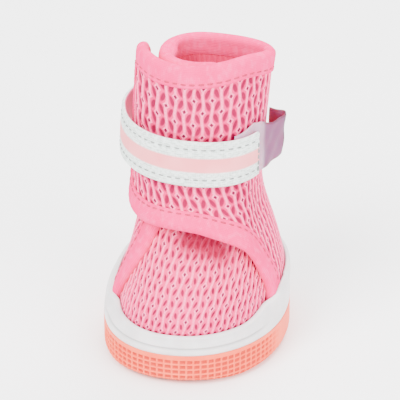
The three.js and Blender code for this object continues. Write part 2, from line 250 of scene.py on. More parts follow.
def build_outsole():
    angles = np.arange(0, 360, SOLE_STEP)
    level = np.zeros_like(angles)
    side_x, side_y = sole_point(angles, 0)
    round_way = np.cumsum(np.hypot(np.gradient(side_x), np.gradient(side_y)))
    round_way -= round_way[0]
    round_way = np.where(angles > 180, round_way - round_way[-1], round_way)
    over_toe = smooth((GRID_TURN - turn_from_toe(angles)) / GRID_FADE)
    rows, hollows = [], []

    def add(inset, z, hollow=level, share=1.0):
        x, y = np.array(sole_point(angles, inset)) * share
        rows.append(np.stack([x, y, z + sole_lift(y)], -1))
        hollows.append(hollow)

    def cells(height):
        """1 in the hollows between the grid's bars over the toe, 0 on the bars and elsewhere."""
        column = np.abs((round_way / GRID_CELL) % 1.0 - 0.5) * 2
        row = np.abs(((GRID_TOP - height) / GRID_ROW) % 1.0 - 0.5) * 2
        hollow = smooth((column - BAR_UP) / BAR_SLOPE) * smooth((1 - BAR_ACROSS - row) / BAR_SLOPE)
        return hollow * smooth((GRID_TOP - height) / 0.15) * over_toe

    for share in np.linspace(0.03, 1, TREAD_RINGS):
        x, y = np.array(sole_point(angles, EDGE_ROUND)) * share
        cut = np.maximum(groove(x), groove(y))
        arch = smooth((y - ARCH_FROM) / ARCH_SOFT) * smooth((ARCH_TO - y) / ARCH_SOFT)
        inside = smooth((SOLE_SIDE - EDGE_ROUND) * (1 - share) / LUG_MARGIN)
        add(EDGE_ROUND, np.maximum(cut * LUG_DEPTH * inside, arch * ARCH_HEIGHT), share=share)
    for turn in np.linspace(0, pi / 2, EDGE_RINGS + 1)[1:]:
        z = level + EDGE_RISE * (1 - cos(turn))
        hollow = cells(z + sole_lift(side_y)) * smooth((turn - 0.5) / 0.2)
        add(EDGE_ROUND * (1 - sin(turn)) + GRID_DEPTH * hollow, z, hollow)
    top = sole_wall_top(angles)
    for t in np.linspace(0, 1, WALL_RINGS + 1)[1:]:
        z = EDGE_RISE + (top - EDGE_RISE - sole_lift(side_y)) * t
        hollow = cells(z + sole_lift(side_y))
        add(GRID_DEPTH * hollow, z, hollow)
    inner = (
        # in from the side, height: the lip, the seat of the rim, and the floor under the insole
        (0.12, top + 0.02), (0.5, top + 0.05), (3.0, top), (3.4, level + SOLE_FLOOR),
        (SOLE_SIDE - 0.6, level + SOLE_FLOOR),
    )
    for inset, z in inner:
        rows.append(np.stack([*sole_point(angles, inset), z], -1))
        hollows.append(level)
    faces, marks = capped_skin(len(rows), len(angles)), {"hollow": np.concatenate(hollows)}
    return make_piece("sole_rubber", np.concatenate(rows), faces, marks=marks)


outsole = build_outsole()
rubber = Finish("peach rubber", "outsole_rubber", 0.55, Specular_IOR_Level=0.35, Subsurface_Weight=0.12,
                Subsurface_Scale=0.004)
rubber.shader.inputs["Subsurface Radius"].default_value = (1.0, 0.4, 0.25)
hollow = rubber.mark("hollow")
cloud = rubber.noise(240.0, 3.0)
peach = rubber.mix(cloud.step(0.3, 0.7), (0.90, 0.085, 0.028), (0.95, 0.12, 0.045))
# The grid's hollows are painted darker: painted shade in the recessed cells.
rubber.set(Base_Color=rubber.mix(hollow.step(0.1, 0.8), peach, (0.62, 0.036, 0.014)))
rubber.set(Roughness=0.5 + 0.14 * cloud + 0.1 * hollow)
rubber.bump(rubber.noise(2600.0, 2.0), 0.05, 0.4)
rubber.put_on(outsole)
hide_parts("outsole")


# ---------------------------------------------------------------- rubber rim
# The rim is a softer off-white rubber band, moulded to the shape of the foot. It holds the mesh all round,
# stands higher at the heel, and has one fine line pressed into it over the toe.

WALL = 2.0
VAMP_SINK = 1.5
RIM_TOP_TOE, RIM_TOP_SIDE, RIM_TOP_HEEL = 11.9, 16.9, 18.0
RIM_RISE_FROM, RIM_RISE_TO = 40.0, 85.0
RIM_THIN, RIM_LEAN, RIM_SEAT = 1.2, 1.3, 0.12
RIM_LINE_AT, RIM_LINE_DEPTH, RIM_LINE_WIDTH = 0.36, 0.42, 0.24
RIM_LINE_TURN, RIM_LINE_FADE = 66.0, 20.0
RIM_JOINT_DEPTH, RIM_JOINT_WIDTH = 0.12, 0.25
SWAY_WHOLE, SWAY_GONE = 14.0, 34.0  # between these heights the toe's lean dies away
LAST = np.array([
    # height, left, right, front, back
    (4.6, 17.0, 17.4, 23.4, 22.6),
    (7.5, 18.4, 18.8, 25.2, 24.2),
    (10.5, 19.2, 19.8, 26.4, 25.2),
    (14.0, 18.8, 20.2, 26.4, 25.6),
    (18.0, 17.5, 19.9, 24.8, 25.2),
    (22.0, 16.2, 18.8, 21.8, 24.4),
    (26.0, 15.3, 17.4, 18.0, 23.4),
    (30.0, 14.7, 15.8, 14.4, 22.4),
    (34.0, 14.4, 14.4, 11.2, 21.4),
    (38.0, 14.1, 13.7, 8.8, 20.4),
    (44.0, 13.5, 13.8, 6.8, 19.0),
    (52.0, 12.5, 14.5, 5.2, 17.8),
    (60.0, 11.2, 15.2, 4.0, 17.0),
    (72.0, 9.4, 16.2, 2.6, 16.2),
])


def curve_through(table, column, x):
    """A smooth curve through one column of a table, read along its first column."""
    key, value = table[:, 0], table[:, column]
    if key[-1] < key[0]:
        key, value = key[::-1], value[::-1]
    last = len(key) - 1
    before, after = np.maximum(np.arange(last + 1) - 1, 0), np.minimum(np.arange(last + 1) + 1, last)
    slope = (value[after] - value[before]) / (key[after] - key[before])
    x = np.clip(x, key[0], key[-1])
    i = np.clip(np.searchsorted(key, x) - 1, 0, last - 1)
    step = key[i + 1] - key[i]
    t = (x - key[i]) / step
    ease = t * t * (3 - 2 * t)
    rise = t * (1 - t) * step
    return value[i] * (1 - ease) + value[i + 1] * ease + rise * ((1 - t) * slope[i] - t * slope[i + 1])


def last_point(angle, z):
    """A point on the last, the outside of the leg and foot that the band is wrapped round."""
    sizes = [curve_through(LAST, column, z) for column in (1, 2, 3, 4)]
    x, y = plan_point(angle, *sizes, TOE_SWAY * np.clip((SWAY_GONE - z) / (SWAY_GONE - SWAY_WHOLE), 0, 1))
    return np.stack([x, y, z + 0 * x], -1)


def off_last(angle, z, off):
    """Points a distance outside the last, square to its surface."""
    angle, z, off = np.broadcast_arrays(np.float64(angle), np.float64(z), np.float64(off))
    round_way = last_point(angle + 0.5, z) - last_point(angle - 0.5, z)
    rise = last_point(angle, z + 0.5) - last_point(angle, z - 0.5)
    normal = np.cross(round_way, rise)
    normal /= np.linalg.norm(normal, axis=-1, keepdims=True)
    return last_point(angle, z) + normal * off[..., None]


def beside_last(angle, z, off):
    """The same, but kept at its own height."""
    point = off_last(angle, z, off)
    point[..., 2] = z
    return point


def upper_face(angle):
    """The face that the rubber closes on: the vamp sits lower than the sides of the band."""
    turn = (angle + 180) % 360 - 180
    vamp = smooth(np.where(turn < 0, (turn + 60) / 9, (70 - turn) / 10))
    flap_side = np.where((turn > 0) & (turn < 90), 0.2, 0.0)
    return flap_side * (1 - vamp) - VAMP_SINK * vamp


def build_rim():
    angles = np.arange(0, 360, 0.75)
    foot = sole_wall_top(angles) + 0.05
    turn = turn_from_toe(angles)
    to_side = smooth((turn - RIM_RISE_FROM) / (RIM_RISE_TO - RIM_RISE_FROM))
    to_heel = smooth((turn - RIM_RISE_TO) / (180 - RIM_RISE_TO))
    top = RIM_TOP_TOE + (RIM_TOP_SIDE - RIM_TOP_TOE) * to_side + (RIM_TOP_HEEL - RIM_TOP_SIDE) * to_heel
    inside = upper_face(angles) + RIM_SEAT
    line_shown = smooth((RIM_LINE_TURN - turn) / RIM_LINE_FADE)
    sole_x, sole_y = sole_point(angles, 0.02)
    rows, groove_shade_marks = [], []
    near_line = np.linspace(0.16, 0.52, 19)
    for t in np.concatenate([np.linspace(0, 0.14, 5), near_line, np.linspace(0.56, 0.93, 10)]):
        z = foot + (top - foot) * t
        hug = beside_last(angles, z, inside + RIM_THIN)
        lean = smooth(t) ** RIM_LEAN
        x = sole_x + (hug[:, 0] - sole_x) * lean
        y = sole_y + (hug[:, 1] - sole_y) * lean
        line = np.exp(-(((t - RIM_LINE_AT) * (top - foot) / RIM_LINE_WIDTH) ** 2)) * line_shown
        # the same line is also kept as a mark for the painted shade in the groove
        groove_shade_marks.append(line)
        glue_joint = RIM_JOINT_DEPTH * np.exp(-((t * (top - foot) / RIM_JOINT_WIDTH) ** 2))
        scale = 1 - (RIM_LINE_DEPTH * line + glue_joint) / np.hypot(x, y)
        rows.append(np.stack([x * scale, y * scale, z], -1))
    outer = rows[-1]
    crest = top + 0.05
    for bend in np.linspace(0.15, 1.0, 7):
        z = outer[:, 2] + (crest - outer[:, 2]) * sin(bend * pi / 2)
        reach = RIM_THIN * (1 - (1 - cos(bend * pi / 2)) * 0.75)
        rows.append(beside_last(angles, z, inside + reach))
    for t in (0.97, 0.7, 0.4, 0.0):
        rows.append(beside_last(angles, foot + (crest - foot) * t, inside))
    points = np.concatenate(rows)
    count = len(angles)
    faces = grid_faces(len(rows) + 1, count, ring=True) % (len(rows) * count)
    groove_shade_marks += [np.zeros(count)] * (len(rows) - len(groove_shade_marks))
    return make_piece("rim_rubber", points, faces, marks={"line": np.concatenate(groove_shade_marks)})


rim = build_rim()
white_rubber = Finish("off-white rubber", "rim_rubber", 0.42, Specular_IOR_Level=0.4,
                      Subsurface_Weight=0.15, Subsurface_Scale=0.004)
cloud = white_rubber.noise(150.0, 3.0)
off_white = white_rubber.mix(cloud.step(0.35, 0.7), (0.60, 0.565, 0.57), (0.70, 0.665, 0.67))
# The pressed line over the toe is painted darker: painted shade in its groove.
groove_painted_shade = white_rubber.mark("line") * 0.8
white_rubber.set(Base_Color=white_rubber.mix(groove_painted_shade, off_white, (0.42, 0.40, 0.40)))
white_rubber.set(Roughness=0.36 + 0.16 * cloud)
white_rubber.bump(white_rubber.noise(2200.0, 2.0), 0.04, 0.35)
white_rubber.put_on(rim)
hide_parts("sidewall")


# ---------------------------------------------------------------- insole
# A thin padded liner lies loose in the foot, cut to the shape of the sole and a little dished. It is foam
# covered with brushed pink cloth.

INSOLE_INSET, INSOLE_LOW = 6.6, 4.9
INSOLE_SECTION = (
    # in from its edge, up from its underside
    (21.0, 0.0), (0.4, 0.0), (0.0, 0.5), (0.05, 1.3), (0.5, 1.85), (1.4, 2.0), (6.0, 1.75), (12.0, 1.55),
    (21.0, 1.5),
)


def build_insole():
    angles = np.arange(0, 360, 3.0)
    rows = []
    for inset, z in INSOLE_SECTION:
        x, y = sole_point(angles, min(INSOLE_INSET + inset, SOLE_SIDE - 0.5))
        rows.append(np.stack([x, y, np.full_like(x, INSOLE_LOW + z)], -1))
    return make_piece("insole_pad", np.concatenate(rows), capped_skin(len(rows), len(angles)))


insole = build_insole()
lining = Finish("brushed lining", "insole_fabric", 0.95, Sheen_Weight=0.4, Specular_IOR_Level=0.2)
nap = lining.noise(1500.0, 4.0)
lining.set(Base_Color=lining.mix(nap.step(0.3, 0.7), (0.60, 0.03, 0.09), (0.75, 0.06, 0.15)))
lining.bump(nap, 0.25, 0.8)
lining.put_on(insole)
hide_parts("insole")


# ---------------------------------------------------------------- knitted mesh of the upper
# Spacer mesh in two tones: pale ribs run up the leg and along the toe, each crossing is a small ring with
# a dark eye, and deeper pink shows between them, darkened further by painted shade in the holes. One long
# band wraps the leg, and the vamp lies under it.

COLLAR = 70.0
FLAP_GAP = 0.45
FLAP_RAMP_FROM, FLAP_RAMP_TO = 75.0, 30.0
FLAP_FLARE, FLAP_FLARE_FROM = 2.85, 36.0
RIB_PITCH, ROW_PITCH = 1.92, 2.95
RIB_HALF, RING_WIDE, RING_TALL = 0.30, 0.72, 1.05
HOLE_WIDE, HOLE_TALL, HOLE_SLANT = 0.47, 1.20, 0.27
VAMP_HOLE = 0.72  # the cloth is drawn tight over the toes, so the holes close up there
RIB_RELIEF, RIB_WAVE = 0.45, 0.14
VAMP_LEAN = 0.15
HEM_LIFT, VAMP_HOLLOW = 0.9, 1.7
BAND = np.array([
    # sweep round the leg, lower edge, upper edge
    (38, 60.0, 67.0), (33, 57.5, 70.0), (0, 48.0, 70.0), (-14, 42.0, 70.0), (-23, 36.0, 70.0),
    (-27, 31.8, 70.0), (-33, 27.0, 70.0), (-39, 23.8, 70.0), (-47, 20.0, 70.0), (-54, 15.6, 70.0),
    (-59, 10.6, 70.0), (-64, 4.9, 70.0), (-70, 4.9, 70.0), (-200, 4.9, 69.6), (-262, 4.9, 70.4),
    (-283, 4.9, 71.4), (-289, 4.9, 71.6), (-292, 13.0, 71.8), (-294, 17.4, 71.9), (-306, 23.6, 72.0),
    (-314, 26.4, 71.8), (-324, 28.6, 71.3), (-340, 30.8, 70.6), (-356, 32.0, 70.0), (-402, 32.0, 69.6),
    (-420, 32.6, 70.2), (-438, 34.2, 70.0), (-450, 37.0, 69.4), (-458, 41.5, 68.5), (-462, 46.0, 67.0),
    (-464, 51.0, 64.5),
], dtype=float)
FLAP_END, PANEL_SEAM, QUARTER_END = -463.6, -270.0, 37.6
VAMP_LEFT, VAMP_RIGHT, VAMP_TOP = -100.0, 85.0, 42.0
FOLD_REACH, FOLD_SHADE = 3.4, 2.3  # how far from the flap's edge the vamp is drawn in, and how far the painted shade under the flap reaches


def flap_lift(sweep, z):
    """How far the flap stands off the band beneath it, with its ear flared out at the collar."""
    angle = np.asarray(sweep, dtype=float) + 360
    lift = (WALL + FLAP_GAP) * smooth((FLAP_RAMP_FROM - angle) / (FLAP_RAMP_FROM - FLAP_RAMP_TO))
    flare = FLAP_FLARE * smooth((z - FLAP_FLARE_FROM) / (COLLAR - FLAP_FLARE_FROM))
    hem = np.exp(-(((z - curve_through(BAND, 1, angle - 360)) / 5) ** 2))
    hem = HEM_LIFT * hem * smooth((angle + 45) / 25) * smooth((62 - angle) / 22)
    return np.where(angle > FLAP_RAMP_FROM, 0.0, lift + hem + smooth((-angle - 20) / 60) * flare)


def under_flap(angle, z, reach):
    """1 on the vamp just below the flap's edge, where the cloth is drawn in; also the mask of the painted
    shade there.
    """
    drop = z - curve_through(BAND, 1, np.asarray(angle, dtype=float) - 360)
    return np.exp(-(((drop + 0.8) / reach) ** 2)) * smooth((angle + 16) / 20) * smooth((44 - angle) / 18)


def vamp_lift(angle, z):
    """The vamp lies inside the band, and is drawn in further just below the flap."""
    return -VAMP_SINK - VAMP_HOLLOW * under_flap(angle, z, FOLD_REACH)


def crease(sweep, z):
    """Soft troughs and ridges where the cloth bends, in millimetres."""
    angle = (np.asarray(sweep, dtype=float) + 180) % 360 - 180
    around = np.abs(np.abs(angle) - 180)
    troughs = (
        # where it turns round the leg, height, width round, height of the fold, depth
        (around, 31.0, 34.0, 3.2, -0.55),
        (around, 36.5, 30.0, 3.0, 0.35),
        (np.abs(angle - 78), 33.0, 16.0, 4.0, -0.45),
        (np.abs(angle + 108), 27.0, 16.0, 4.0, -0.40),
        (np.abs(angle - 20), 38.5, 26.0, 2.2, -0.22),
        (np.abs(angle + 58), 61.0, 12.0, 6.0, -0.30),
        (np.abs(angle - 62), 62.5, 14.0, 5.0, -0.28),
    )
    folds = sum(d * np.exp(-((a / w) ** 2) - ((z - h) / t) ** 2) for a, h, w, t, d in troughs)
    held = smooth((z - 42.2) / 1.6) * smooth((54.2 - z) / 2.4) * (np.asarray(sweep) < -300)
    return folds - 0.4 * held * smooth((angle + 70) / 25) * smooth((70 - angle) / 10)


def profile_way(column):
    """Length along the last's outline from the floor up, for one of its four sides."""
    heights = np.linspace(LAST[0, 0], LAST[-1, 0], 270)
    reach = curve_through(LAST, column, heights)
    return heights, np.concatenate([[0], np.cumsum(np.hypot(np.diff(heights), np.diff(reach)))])


FRONT_WAY, SIDE_WAY = profile_way(3), profile_way(2)
RING_ANGLES, RING_HEIGHTS = np.arange(-112.0, 104.0), np.linspace(LAST[0, 0], LAST[-1, 0], 136)
RING_STEPS = np.diff(last_point(RING_ANGLES[None, :], RING_HEIGHTS[:, None]), axis=1)
RING_WAY = np.cumsum(np.linalg.norm(RING_STEPS, axis=-1), axis=1)


def around_way(angle, z):
    """Length round the last at one height, counted from well behind the left side."""
    rows, columns = RING_WAY.shape
    rise = (z - RING_HEIGHTS[0]) / (RING_HEIGHTS[1] - RING_HEIGHTS[0])
    rise, turn = np.clip(rise, 0, rows - 1.001), np.clip(angle - RING_ANGLES[1], 0, columns - 1.001)
    i, j = rise.astype(int), turn.astype(int)
    f, g = rise - i, turn - j
    low = RING_WAY[i, j] * (1 - g) + RING_WAY[i, j + 1] * g
    return low * (1 - f) + (RING_WAY[i + 1, j] * (1 - g) + RING_WAY[i + 1, j + 1] * g) * f


def cloth_way(angle, z):
    """Length of cloth from the sole up to a height, along the front or the side of the leg."""
    front = toe_ness(angle) ** 2
    return np.interp(z, *SIDE_WAY) * (1 - front) + np.interp(z, *FRONT_WAY) * front


def band_place(sweep, z):
    """Pattern coordinates in millimetres. In front the ribs run beside the outer side of the leg."""
    angle = np.asarray(sweep) + 360
    girth = sum(curve_through(LAST, column, z) for column in (1, 2, 3, 4)) / 4
    behind = np.radians(angle - 100) * np.sqrt(girth * 15.0)
    across = np.where(angle < 100, around_way(angle, z) - around_way(0 * angle + 100, z), behind)
    way = cloth_way(angle, z)
    return across + RIB_WAVE * np.sin(pi * way / ROW_PITCH), way


def vamp_place(angle, z):
    """On the vamp they run down from the instep and lean a little towards -X."""
    way = cloth_way(angle, z)
    across = around_way(angle, z) - around_way(0 * angle + 4, z) - VAMP_LEAN * way
    return across + RIB_WAVE * np.sin(pi * way / ROW_PITCH), way


def knit_height(u, v, stretch):
    """Relief of the mesh, 0 in the holes and 1 on the ribs. Stretch is 1 on the vamp."""
    column = np.round(u / RIB_PITCH)
    du = u - column * RIB_PITCH
    node = v / (2 * ROW_PITCH) + 0.5 * (column % 2)
    dv = (node - np.round(node)) * 2 * ROW_PITCH
    ring = np.abs(du) / RING_WIDE + np.abs(dv) / RING_TALL
    rib = smooth((RIB_HALF + 0.16 - np.abs(du)) / 0.3)
    pale = np.maximum(rib, smooth((1.3 - ring) / 0.45)) * smooth((ring - 0.2) / 0.35)
    gap, row = np.floor(u / RIB_PITCH), np.floor(v / ROW_PITCH)
    gu = u - (gap + 0.5) * RIB_PITCH
    gv = v - (row + 0.5) * ROW_PITCH
    way = 1 - 2 * ((gap + row + 1) % 2)
    size = 1 + (VAMP_HOLE - 1) * stretch
    hole = np.hypot((gu - way * HOLE_SLANT * gv) / HOLE_WIDE, gv / HOLE_TALL) / size
    return np.maximum(pale, 0.55 * smooth((hole - 0.6) / 0.6))


def knit_sheet(name, sweeps, low, high, rows, lift, place, painted_fold_shade=None, stretch=0.0):
    """A closed panel: a dense outer face with the ribs on it and a plain inner face, sewn at the edges."""
    t = np.linspace(0, 1, rows)[:, None]
    sweep = np.broadcast_to(sweeps[None, :], (rows, len(sweeps)))
    z = low[None, :] + (high - low)[None, :] * t
    u, v = place(sweep, z)
    outer = lift(sweep, z) + crease(sweep, z)
    edge = smooth((z - low[None, :]) / 0.8) * smooth((high[None, :] - z) / 0.8)
    relief = RIB_RELIEF * (knit_height(u, v, stretch) * edge - 1)
    points = off_last(sweep, z, outer + relief)
    coarse = 3  # outer points to each inner one, both ways
    sparse = (slice(None, None, coarse), slice(None, None, coarse))
    inner = off_last(sweep, z, outer - WALL)[sparse]
    count = rows * len(sweeps)
    r, c = inner.shape[:2]
    faces = [list(f) for f in grid_faces(rows, len(sweeps))]
    faces += [[int(i) + count for i in f[::-1]] for f in grid_faces(r, c)]
    fine = np.arange(count).reshape(rows, -1)
    rough = np.arange(r * c).reshape(r, c) + count
    borders = ((fine[0][::-1], rough[0][::-1]), (fine[-1], rough[-1]),
               (fine[:, 0], rough[:, 0]), (fine[:, -1][::-1], rough[:, -1][::-1]))
    for near, far in borders:
        for k in range(len(far) - 1):
            a = near[coarse * k:coarse * k + coarse + 1]
            faces += [[far[k], a[1], a[0]], [far[k], a[2], a[1]]]
            faces += [[far[k], far[k + 1], a[2]], [far[k + 1], a[3], a[2]]]
    uv = np.stack([u, v], -1)
    uv = np.concatenate([uv.reshape(-1, 2), uv[sparse].reshape(-1, 2)])
    shade = np.zeros(sweep.shape) if painted_fold_shade is None else painted_fold_shade(sweep, z)
    marks = {
        "inner_side": np.concatenate([np.zeros(count), np.ones(r * c)]),
        "fold_painted_shade": np.concatenate([shade.ravel(), np.zeros(r * c)]),
        "stretch": np.full(count + r * c, stretch),
    }
    points = np.concatenate([points.reshape(-1, 3), inner.reshape(-1, 3)])
    return make_piece(name, points, faces, uv, marks)


def band_edges(sweeps):
    """Lower and upper edge of the band, the lower one no further down than the seat in the sole."""
    low = np.maximum(curve_through(BAND, 1, sweeps), SOLE_FLOOR + 0.3)
    return low, curve_through(BAND, 2, sweeps)


def sweep_steps(start, end, count):
    """Sweeps at equal steps, one more than a multiple of three so that both faces share their corners."""
    return np.linspace(start, end, count - count % 3 + 1)


def tucked(low, high, tuck=0.9):
    """The edges drawn in, so that the cut ends of the mesh are hidden in the tape."""
    return low + tuck * smooth((low - 5.5) / 1.0), high - tuck


sweeps = sweep_steps(FLAP_END, PANEL_SEAM, 240)
low, high = tucked(*band_edges(sweeps))
flap_mesh = knit_sheet("flap_mesh", sweeps, low, high, 169, flap_lift, band_place)
sweeps = sweep_steps(PANEL_SEAM, QUARTER_END, 300)
low, high = tucked(*band_edges(sweeps))
quarter_mesh = knit_sheet("quarter_mesh", sweeps, low, high, 220, flap_lift, band_place)
angles = sweep_steps(VAMP_LEFT, VAMP_RIGHT, 261)
low = np.full_like(angles, SOLE_FLOOR + 0.3)
high = VAMP_TOP - 16 * smooth((np.abs(angles + 8) - 30) / 60)
vamp_mesh = knit_sheet("vamp_mesh", angles, low, high, 169, vamp_lift, vamp_place,
                       painted_fold_shade=lambda angle, z: under_flap(angle, z, FOLD_SHADE), stretch=1.0)

mesh_cloth = Finish("knitted mesh", "mesh_fabric", 0.85, Specular_IOR_Level=0.12)
u, v = mesh_cloth.across()
column = (u / RIB_PITCH + 0.5).floor()
yarn = mesh_cloth.noise(2400.0, 3.0, 0.6)
du = abs(u - column * RIB_PITCH) + (yarn - 0.5) * 0.16
odd = column / 2 - (column / 2).floor()
node = v / (2 * ROW_PITCH) + odd
dv = abs(node - (node + 0.5).floor()) * (2 * ROW_PITCH)
ring = du / RING_WIDE + dv / RING_TALL
eye = ring.step(0.62, 0.38)
pale = du.step(RIB_HALF + 0.12, RIB_HALF - 0.12).maths("MAXIMUM", ring.step(1.25, 0.95)) * (1 - eye)
gap, row = (u / RIB_PITCH).floor(), (v / ROW_PITCH).floor()
gu = u - (gap + 0.5) * RIB_PITCH
gv = v - (row + 0.5) * ROW_PITCH
parity = (gap + row + 1) / 2
way = 1 - 4 * (parity - parity.floor())
slanted = (gu - way * gv * HOLE_SLANT) / HOLE_WIDE
upright = gv / HOLE_TALL
stretch = mesh_cloth.mark("stretch")
tight = 1 + (VAMP_HOLE**2 - 1) * stretch
hole = ((slanted * slanted + upright * upright) / tight).step(1.45, 0.4)
cloud = mesh_cloth.noise(90.0, 2.0)
light = mesh_cloth.mix(yarn.step(0.3, 0.7), (0.93, 0.09, 0.245), (0.99, 0.20, 0.37))
middle = mesh_cloth.mix(cloud.step(0.3, 0.7), (0.62, 0.007, 0.105), (0.74, 0.018, 0.15))
middle = mesh_cloth.mix(stretch * 0.35, middle, (0.88, 0.06, 0.20))
# the holes' colour: the cloth's deeper pink with painted shade in the holes
deep_pink_and_shade = mesh_cloth.mix(cloud.step(0.3, 0.7), (0.20, 0.001, 0.034), (0.28, 0.002, 0.052))
colour = mesh_cloth.mix(pale, mesh_cloth.mix(hole, middle, deep_pink_and_shade), light)
colour = mesh_cloth.mix(eye * 0.9, colour, (0.10, 0.008, 0.03))
# painted shade on the vamp just below the flap's edge, where the flap shades the drawn-in cloth
colour = mesh_cloth.mix((mesh_cloth.mark("fold_painted_shade") * 1.3).clamp() * 0.85, colour, (0.30, 0.0005, 0.035))
colour = mesh_cloth.mix(mesh_cloth.mark("inner_side").step(0.4, 0.6) * 0.9, colour, (0.72, 0.006, 0.11))
mesh_cloth.set(Base_Color=colour, Roughness=0.75 + 0.2 * yarn)
mesh_cloth.bump(yarn * 0.5 + pale - hole * 0.6, 0.1, 0.6)
mesh_cloth.put_on(flap_mesh, quarter_mesh, vamp_mesh)
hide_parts("upper")
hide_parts("upper")
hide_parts("upper")


# ---------------------------------------------------------------- bound edges
# One folded woven tape, about 5 mm wide, is sewn over the cut edges of the band: up the inner quarter,
# round the collar, over the ear and down the flap. A row of stitches runs a millimetre inside its edge.

TAPE_WIDTH = 4.9
TAPE_OUTSIDE, TAPE_INSIDE = 0.42, 0.14
TAPE_DIP, TAPE_SWELL = 0.16, 0.10  # pulled in by its stitches, fuller at the fold
ROLL_EXTRA, ROLL_AT, ROLL_SPREAD = 1.5, -84.0, 26.0  # the collar rolls inwards on the left
STITCH_INSET, STITCH_PITCH, STITCH_LENGTH, STITCH_THICK = 0.95, 2.1, 1.45, 0.2


def band_outline():
    """The band's bound edge as sweeps and heights, from the inner quarter's foot to the flap's foot."""
    lower_in = np.arange(-63.0, 38.0, 1.0)
    upper = np.arange(38.0, -464.0, -2.0)
    lower_out = np.arange(-464.0, -290.6, 0.5)
    sweep = np.concatenate([lower_in, [38.0, 38.0], upper, [-464.0] * 4, lower_out])
    z = np.concatenate([band_edges(lower_in)[0], [61.5, 65.0], band_edges(upper)[1],
                        [62.0, 59.0, 56.0, 53.0], band_edges(lower_out)[0]])
    return sweep, z


def cloth_scale(sweep, z):
    """Millimetres of cloth for each degree round the leg, and for each millimetre of height."""
    around = np.linalg.norm(last_point(sweep + 0.5, z) - last_point(sweep - 0.5, z), axis=-1)
    return around, np.linalg.norm(last_point(sweep, z + 0.5) - last_point(sweep, z - 0.5), axis=-1)


def softened(values, reach):
    """Values along a path with its corners rounded off, and its ends kept."""
    weights = np.hanning(2 * reach + 3)[1:-1]
    before, after = 2 * values[0] - values[reach:0:-1], 2 * values[-1] - values[-2:-reach - 2:-1]
    return np.convolve(np.concatenate([before, values, after]), weights / weights.sum(), "valid")


def even_path(sweep, z, spacing, soften):
    """The path at equal steps along the cloth, its corners rounded, with the way in from the edge."""
    for repeat in range(2):
        around, rise = cloth_scale(sweep, z)
        run = np.diff(sweep) * (around[1:] + around[:-1]) / 2
        climb = np.diff(z) * (rise[1:] + rise[:-1]) / 2
        way = np.concatenate([[0], np.cumsum(np.hypot(run, climb))])
        even = np.linspace(0, way[-1], int(way[-1] / spacing) + 1)
        sweep, z = np.interp(even, way, sweep), np.interp(even, way, z)
        if repeat == 0:
            sweep, z = (softened(values, int(soften / spacing)) for values in (sweep, z))
    around, rise = cloth_scale(sweep, z)
    tangent = np.stack([np.gradient(sweep) * around, np.gradient(z) * rise], -1)
    tangent /= np.linalg.norm(tangent, axis=-1, keepdims=True)
    return sweep, z, np.stack([-tangent[:, 1] / around, tangent[:, 0] / rise], -1), even


def on_band(path, inward, out):
    """Points a way in from the band's edge and a way out from its face."""
    sweep, z, inside, _ = path
    s = sweep[:, None] + inside[:, :1] * np.atleast_1d(inward)
    h = z[:, None] + inside[:, 1:] * np.atleast_1d(inward)
    return off_last(s, h, flap_lift(s, h) + crease(s, h) + out)


def build_tape(path):
    inward, out = [TAPE_WIDTH, TAPE_WIDTH + 0.02], [0.02, TAPE_OUTSIDE * 0.6]
    seam_at = TAPE_WIDTH - STITCH_INSET
    for a in (TAPE_WIDTH - 0.12, TAPE_WIDTH - 0.6, seam_at, TAPE_WIDTH - 1.4, 3.0, 2.4, 1.7):
        dip = TAPE_DIP * np.exp(-(((seam_at - a) / 0.4) ** 2))
        inward.append(a)
        out.append(TAPE_OUTSIDE - dip + TAPE_SWELL * np.exp(-(((a - 1.2) / 1.0) ** 2)))
    for turn in np.linspace(80, -80, 11):
        bulge = WALL / 2 + (TAPE_OUTSIDE if turn > 0 else TAPE_INSIDE) + 0.08
        inward.append(1.15 - 1.4 * cos(radians(turn)))
        out.append(bulge * sin(radians(turn)) - WALL / 2)
    inward += [1.7, 3.0, TAPE_WIDTH - 0.2, TAPE_WIDTH, TAPE_WIDTH, 1.2, 1.2]
    out += [-WALL - TAPE_INSIDE] * 3 + [-WALL - 0.02, -WALL + 0.15, -WALL + 0.15, -0.15]
    inward.append(TAPE_WIDTH - 0.02)
    out.append(-0.15)
    inward, out = np.array(inward), np.array(out)
    sweep, z, _, way = path
    pucker = 0.035 * np.sin(2 * pi * way / STITCH_PITCH) + 0.05 * np.sin(way / 3.1) * np.sin(way / 7.7)
    raised = np.where((out > 0.1) & (inward > 0.5), 1.0, 0.0)
    roll = ROLL_EXTRA * np.exp(-(((sweep - ROLL_AT) / ROLL_SPREAD) ** 2)) * smooth((z - 60) / 6)
    inner_face = smooth((-out - 0.6 * WALL) / 0.8) * smooth((TAPE_WIDTH + 0.3 - inward) / 2.5)
    out = out[None, :] + pucker[:, None] * raised[None, :] - roll[:, None] * inner_face[None, :]
    points = on_band(path, inward[None, :], out)
    u = np.broadcast_to(way[:, None], points.shape[:2])
    across = np.concatenate([[0], np.cumsum(np.hypot(np.diff(inward), np.diff(out[0])))])
    v = np.broadcast_to(across[None, :], points.shape[:2])
    return make_piece("edge_binding", points.reshape(-1, 3), capped_skin(*points.shape[:2]),
                      np.stack([u, v], -1).reshape(-1, 2))


